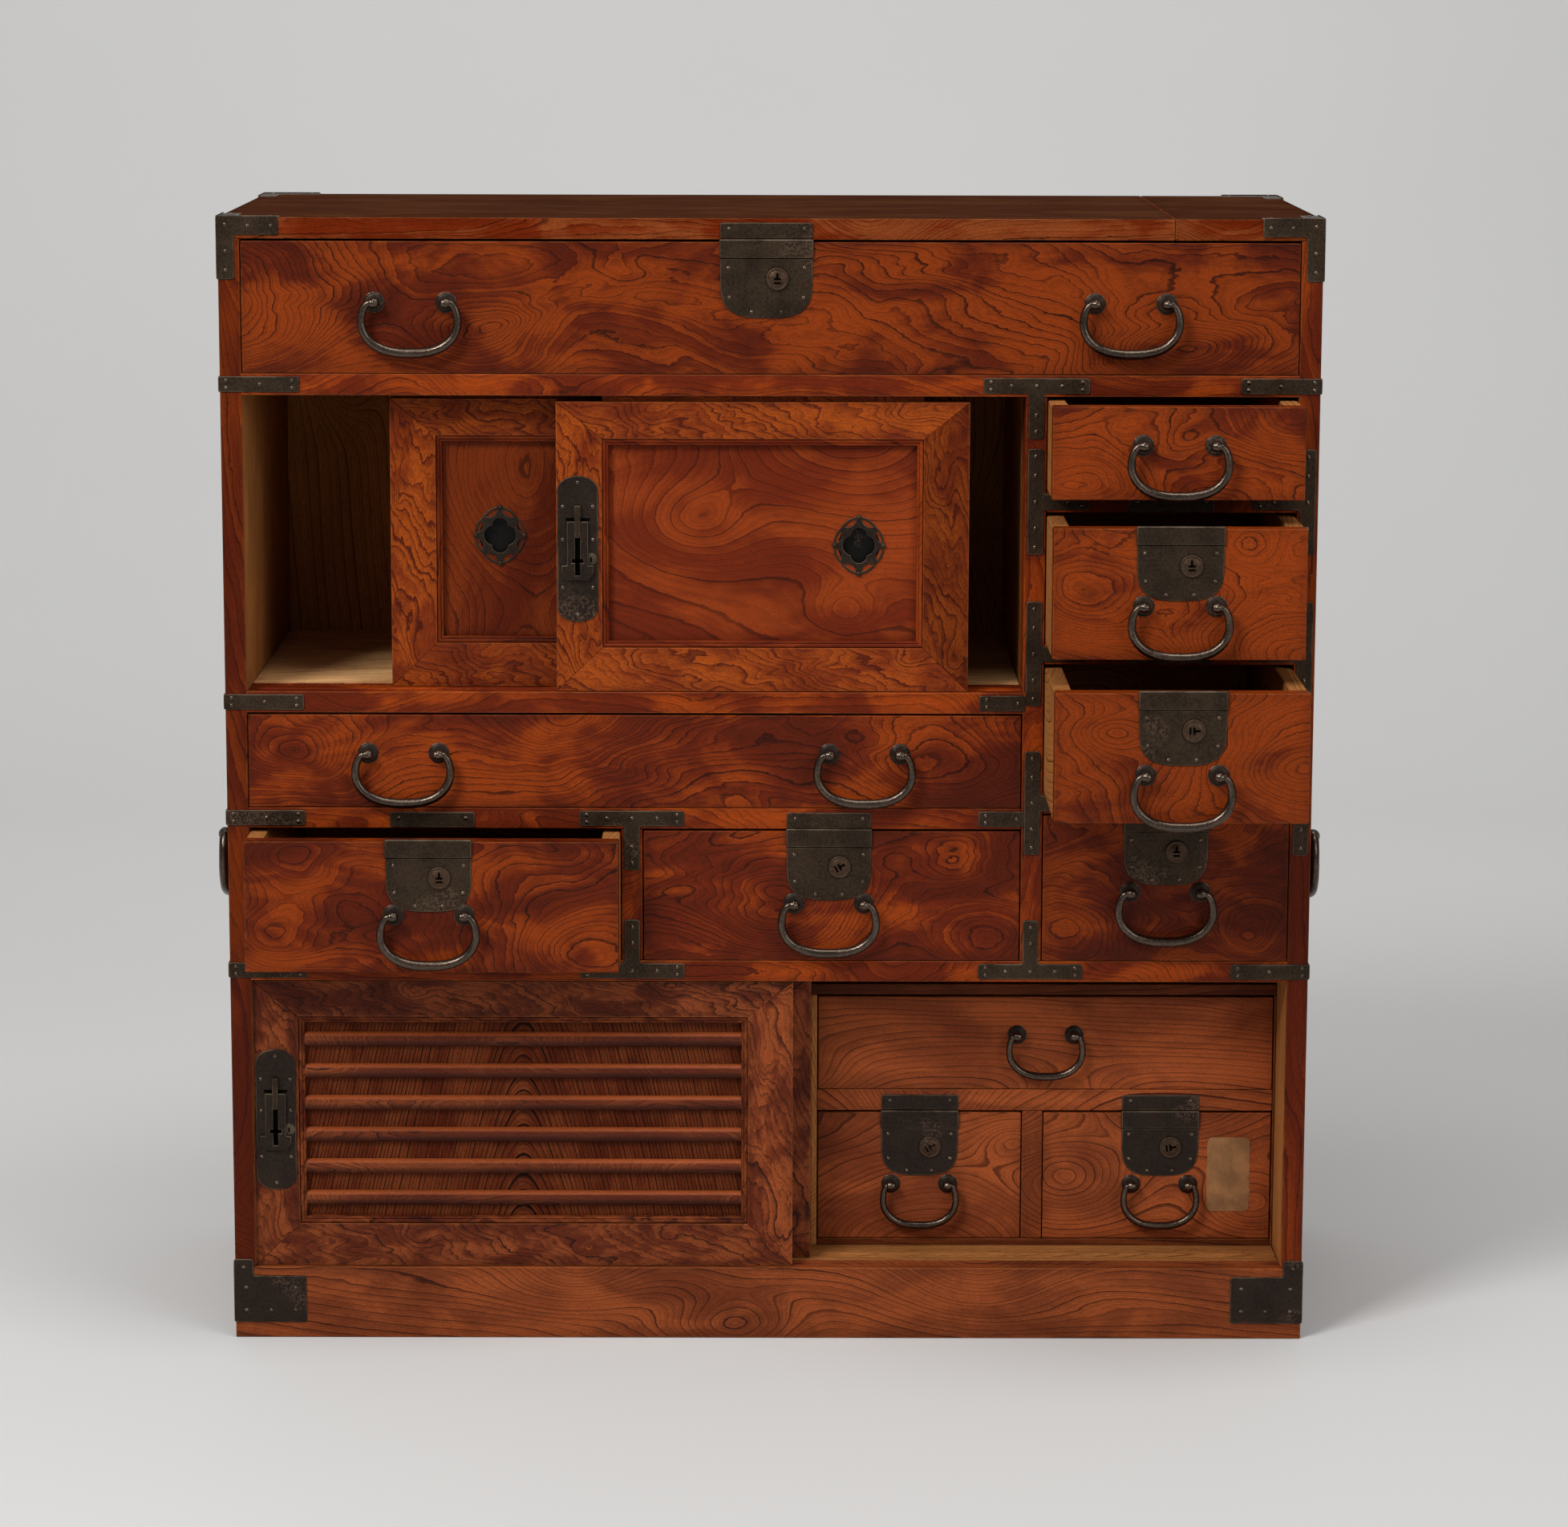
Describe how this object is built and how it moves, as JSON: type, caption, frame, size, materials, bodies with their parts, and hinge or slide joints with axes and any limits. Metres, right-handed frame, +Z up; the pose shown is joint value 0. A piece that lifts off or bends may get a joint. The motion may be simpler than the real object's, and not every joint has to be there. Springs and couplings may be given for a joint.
{
  "type": "merchant chest",
  "caption": "Japanese merchant's chest in red-brown lacquered zelkova with dark iron fittings, drawers, sliding doors and an inner nest of small drawers",
  "frame": {"origin": "on the floor, under the middle of the case's footprint", "axes": "+X right as seen from the front, +Y from the front to the back, +Z up; drawers pull out along -Y"},
  "size_m": [0.9188, 0.5132, 0.9122],
  "materials": {
    "lacquered_zelkova": "red-brown wiped lacquer over open ring-porous grain, satin, worn at the edges",
    "door_zelkova": "orange-brown wiped lacquer over figured grain, satin",
    "pale_softwood": "bare softwood boards, toned by age, matt",
    "dark_iron": "dark forged iron with a dull sheen, bright at worn edges and nail heads",
    "aged_paper": "blank aged paper slip pasted on the inner right drawer front"
  },
  "bodies": {
    "case": {"top_board": "lacquered_zelkova", "side_boards": "lacquered_zelkova", "frame_and_base": "lacquered_zelkova", "back_boards": "pale_softwood", "inner_cabinet": "pale_softwood", "case_irons": "dark_iron"},
    "top_drawer": {"top_drawer": "lacquered_zelkova", "top_drawer_irons": "dark_iron"},
    "wide_drawer": {"wide_drawer": "lacquered_zelkova", "wide_drawer_irons": "dark_iron"},
    "twin_drawer_left": {"twin_drawer_left": "lacquered_zelkova", "twin_drawer_left_irons": "dark_iron"},
    "twin_drawer_right": {"twin_drawer_right": "lacquered_zelkova", "twin_drawer_right_irons": "dark_iron"},
    "column_drawer_1": {"column_drawer_1": "lacquered_zelkova", "column_drawer_1_irons": "dark_iron"},
    "column_drawer_2": {"column_drawer_2": "lacquered_zelkova", "column_drawer_2_irons": "dark_iron"},
    "column_drawer_3": {"column_drawer_3": "lacquered_zelkova", "column_drawer_3_irons": "dark_iron"},
    "column_drawer_4": {"column_drawer_4": "lacquered_zelkova", "column_drawer_4_irons": "dark_iron"},
    "inner_drawer_top": {"inner_drawer_top": "lacquered_zelkova", "inner_drawer_top_irons": "dark_iron"},
    "inner_drawer_left": {"inner_drawer_left": "lacquered_zelkova", "inner_drawer_left_irons": "dark_iron"},
    "inner_drawer_right": {"inner_drawer_right": "lacquered_zelkova", "inner_drawer_right_irons": "dark_iron"},
    "top_handle_left": {"top_handle_left": "dark_iron"},
    "top_handle_right": {"top_handle_right": "dark_iron"},
    "wide_handle_left": {"wide_handle_left": "dark_iron"},
    "wide_handle_right": {"wide_handle_right": "dark_iron"},
    "twin_handle_left": {"twin_handle_left": "dark_iron"},
    "twin_handle_right": {"twin_handle_right": "dark_iron"},
    "column_handle_1": {"column_handle_1": "dark_iron"},
    "column_handle_2": {"column_handle_2": "dark_iron"},
    "column_handle_3": {"column_handle_3": "dark_iron"},
    "column_handle_4": {"column_handle_4": "dark_iron"},
    "inner_handle_top": {"inner_handle_top": "dark_iron"},
    "inner_handle_left": {"inner_handle_left": "dark_iron"},
    "inner_handle_right": {"inner_handle_right": "dark_iron"},
    "side_handle_left": {"side_handle_left": "dark_iron"},
    "side_handle_right": {"side_handle_right": "dark_iron"},
    "top_lock_disc": {"top_lock_disc": "dark_iron"},
    "twin_left_lock_disc": {"twin_left_lock_disc": "dark_iron"},
    "twin_right_lock_disc": {"twin_right_lock_disc": "dark_iron"},
    "column_2_lock_disc": {"column_2_lock_disc": "dark_iron"},
    "column_3_lock_disc": {"column_3_lock_disc": "dark_iron"},
    "column_4_lock_disc": {"column_4_lock_disc": "dark_iron"},
    "inner_left_lock_disc": {"inner_left_lock_disc": "dark_iron"},
    "inner_right_lock_disc": {"inner_right_lock_disc": "dark_iron"},
    "upper_front_door": {"upper_front_door": "door_zelkova", "upper_front_door_irons": "dark_iron"},
    "upper_rear_door": {"upper_rear_door": "door_zelkova", "upper_rear_door_irons": "dark_iron"},
    "lower_front_door": {"lower_front_door": "door_zelkova", "lower_front_door_irons": "dark_iron"},
    "lower_rear_door": {"lower_rear_door": "door_zelkova"},
    "upper_door_hasp": {"upper_door_hasp": "dark_iron"},
    "lower_door_hasp": {"lower_door_hasp": "dark_iron"}
  },
  "joints": [
    {"name": "top_drawer_slide", "type": "slide", "parent": "case", "child": "top_drawer", "axis": [0, -1, 0], "range_m": [0, 0.23]},
    {"name": "wide_drawer_slide", "type": "slide", "parent": "case", "child": "wide_drawer", "axis": [0, -1, 0], "range_m": [0, 0.23]},
    {"name": "twin_drawer_left_slide", "type": "slide", "parent": "case", "child": "twin_drawer_left", "axis": [0, -1, 0], "range_m": [-0.05, 0.18]},
    {"name": "twin_drawer_right_slide", "type": "slide", "parent": "case", "child": "twin_drawer_right", "axis": [0, -1, 0], "range_m": [0, 0.23]},
    {"name": "column_drawer_1_slide", "type": "slide", "parent": "case", "child": "column_drawer_1", "axis": [0, -1, 0], "range_m": [-0.065, 0.165]},
    {"name": "column_drawer_2_slide", "type": "slide", "parent": "case", "child": "column_drawer_2", "axis": [0, -1, 0], "range_m": [-0.092, 0.138]},
    {"name": "column_drawer_3_slide", "type": "slide", "parent": "case", "child": "column_drawer_3", "axis": [0, -1, 0], "range_m": [-0.137, 0.093]},
    {"name": "column_drawer_4_slide", "type": "slide", "parent": "case", "child": "column_drawer_4", "axis": [0, -1, 0], "range_m": [0, 0.23]},
    {"name": "inner_drawer_top_slide", "type": "slide", "parent": "case", "child": "inner_drawer_top", "axis": [0, -1, 0], "range_m": [0, 0.17]},
    {"name": "inner_drawer_left_slide", "type": "slide", "parent": "case", "child": "inner_drawer_left", "axis": [0, -1, 0], "range_m": [0, 0.17]},
    {"name": "inner_drawer_right_slide", "type": "slide", "parent": "case", "child": "inner_drawer_right", "axis": [0, -1, 0], "range_m": [0, 0.17]},
    {"name": "top_handle_left_hinge", "type": "hinge", "parent": "top_drawer", "child": "top_handle_left", "pos_m": [-0.284, -0.19, 0.8444], "axis": [-1, 0, 0], "range_deg": [-3, 100]},
    {"name": "top_handle_right_hinge", "type": "hinge", "parent": "top_drawer", "child": "top_handle_right", "pos_m": [0.284, -0.19, 0.8444], "axis": [-1, 0, 0], "range_deg": [-3, 100]},
    {"name": "wide_handle_left_hinge", "type": "hinge", "parent": "wide_drawer", "child": "wide_handle_left", "pos_m": [-0.293, -0.19, 0.4844], "axis": [-1, 0, 0], "range_deg": [-3, 100]},
    {"name": "wide_handle_right_hinge", "type": "hinge", "parent": "wide_drawer", "child": "wide_handle_right", "pos_m": [0.076, -0.19, 0.4844], "axis": [-1, 0, 0], "range_deg": [-3, 100]},
    {"name": "twin_handle_left_hinge", "type": "hinge", "parent": "twin_drawer_left", "child": "twin_handle_left", "pos_m": [-0.2705, -0.24, 0.3624], "axis": [-1, 0, 0], "range_deg": [-3, 100]},
    {"name": "twin_handle_right_hinge", "type": "hinge", "parent": "twin_drawer_right", "child": "twin_handle_right", "pos_m": [0.0478, -0.19, 0.3624], "axis": [-1, 0, 0], "range_deg": [-3, 100]},
    {"name": "column_handle_1_hinge", "type": "hinge", "parent": "column_drawer_1", "child": "column_handle_1", "pos_m": [0.3185, -0.255, 0.7394], "axis": [-1, 0, 0], "range_deg": [-3, 100]},
    {"name": "column_handle_2_hinge", "type": "hinge", "parent": "column_drawer_2", "child": "column_handle_2", "pos_m": [0.3185, -0.282, 0.6169], "axis": [-1, 0, 0], "range_deg": [-3, 100]},
    {"name": "column_handle_3_hinge", "type": "hinge", "parent": "column_drawer_3", "child": "column_handle_3", "pos_m": [0.3185, -0.327, 0.4914], "axis": [-1, 0, 0], "range_deg": [-3, 100]},
    {"name": "column_handle_4_hinge", "type": "hinge", "parent": "column_drawer_4", "child": "column_handle_4", "pos_m": [0.3185, -0.19, 0.3724], "axis": [-1, 0, 0], "range_deg": [-3, 100]},
    {"name": "inner_handle_top_hinge", "type": "hinge", "parent": "inner_drawer_top", "child": "inner_handle_top", "pos_m": [0.2278, -0.1196, 0.2384], "axis": [-1, 0, 0], "range_deg": [-3, 100]},
    {"name": "inner_handle_left_hinge", "type": "hinge", "parent": "inner_drawer_left", "child": "inner_handle_left", "pos_m": [0.1246, -0.1196, 0.1119], "axis": [-1, 0, 0], "range_deg": [-3, 100]},
    {"name": "inner_handle_right_hinge", "type": "hinge", "parent": "inner_drawer_right", "child": "inner_handle_right", "pos_m": [0.3235, -0.1196, 0.1119], "axis": [-1, 0, 0], "range_deg": [-3, 100]},
    {"name": "side_handle_left_hinge", "type": "hinge", "parent": "case", "child": "side_handle_left", "pos_m": [-0.4533, 0, 0.392], "axis": [0, 1, 0], "range_deg": [-3, 100]},
    {"name": "side_handle_right_hinge", "type": "hinge", "parent": "case", "child": "side_handle_right", "pos_m": [0.4533, 0, 0.392], "axis": [0, -1, 0], "range_deg": [-3, 100]},
    {"name": "top_lock_disc_hinge", "type": "hinge", "parent": "top_drawer", "child": "top_lock_disc", "pos_m": [0.0052, -0.1812, 0.8634], "axis": [0, 1, 0], "range_deg": [0, 90]},
    {"name": "twin_left_lock_disc_hinge", "type": "hinge", "parent": "twin_drawer_left", "child": "twin_left_lock_disc", "pos_m": [-0.2619, -0.2312, 0.3924], "axis": [0, 1, 0], "range_deg": [0, 90]},
    {"name": "twin_right_lock_disc_hinge", "type": "hinge", "parent": "twin_drawer_right", "child": "twin_right_lock_disc", "pos_m": [0.0564, -0.1812, 0.3924], "axis": [0, 1, 0], "range_deg": [0, 90]},
    {"name": "column_2_lock_disc_hinge", "type": "hinge", "parent": "column_drawer_2", "child": "column_2_lock_disc", "pos_m": [0.3271, -0.2732, 0.6484], "axis": [0, 1, 0], "range_deg": [0, 90]},
    {"name": "column_3_lock_disc_hinge", "type": "hinge", "parent": "column_drawer_3", "child": "column_3_lock_disc", "pos_m": [0.3271, -0.3182, 0.5264], "axis": [0, 1, 0], "range_deg": [0, 90]},
    {"name": "column_4_lock_disc_hinge", "type": "hinge", "parent": "column_drawer_4", "child": "column_4_lock_disc", "pos_m": [0.3271, -0.1812, 0.4054], "axis": [0, 1, 0], "range_deg": [0, 90]},
    {"name": "inner_left_lock_disc_hinge", "type": "hinge", "parent": "inner_drawer_left", "child": "inner_left_lock_disc", "pos_m": [0.1332, -0.1122, 0.1434], "axis": [0, 1, 0], "range_deg": [0, 90]},
    {"name": "inner_right_lock_disc_hinge", "type": "hinge", "parent": "inner_drawer_right", "child": "inner_right_lock_disc", "pos_m": [0.3321, -0.1122, 0.1434], "axis": [0, 1, 0], "range_deg": [0, 90]},
    {"name": "upper_front_door_slide", "type": "slide", "parent": "case", "child": "upper_front_door", "axis": [1, 0, 0], "range_m": [-0.2477, 0.0435]},
    {"name": "upper_rear_door_slide", "type": "slide", "parent": "case", "child": "upper_rear_door", "axis": [1, 0, 0], "range_m": [-0.1142, 0.177]},
    {"name": "lower_front_door_slide", "type": "slide", "parent": "case", "child": "lower_front_door", "axis": [-1, 0, 0], "range_m": [-0.39838, 0]},
    {"name": "lower_rear_door_slide", "type": "slide", "parent": "case", "child": "lower_rear_door", "axis": [-1, 0, 0], "range_m": [-0.3834, 0.0147]},
    {"name": "upper_door_hasp_slide", "type": "slide", "parent": "upper_front_door", "child": "upper_door_hasp", "axis": [0, 0, 1], "range_m": [0, 0.01]},
    {"name": "lower_door_hasp_slide", "type": "slide", "parent": "lower_front_door", "child": "lower_door_hasp", "axis": [0, 0, 1], "range_m": [0, 0.01]}
  ]
}
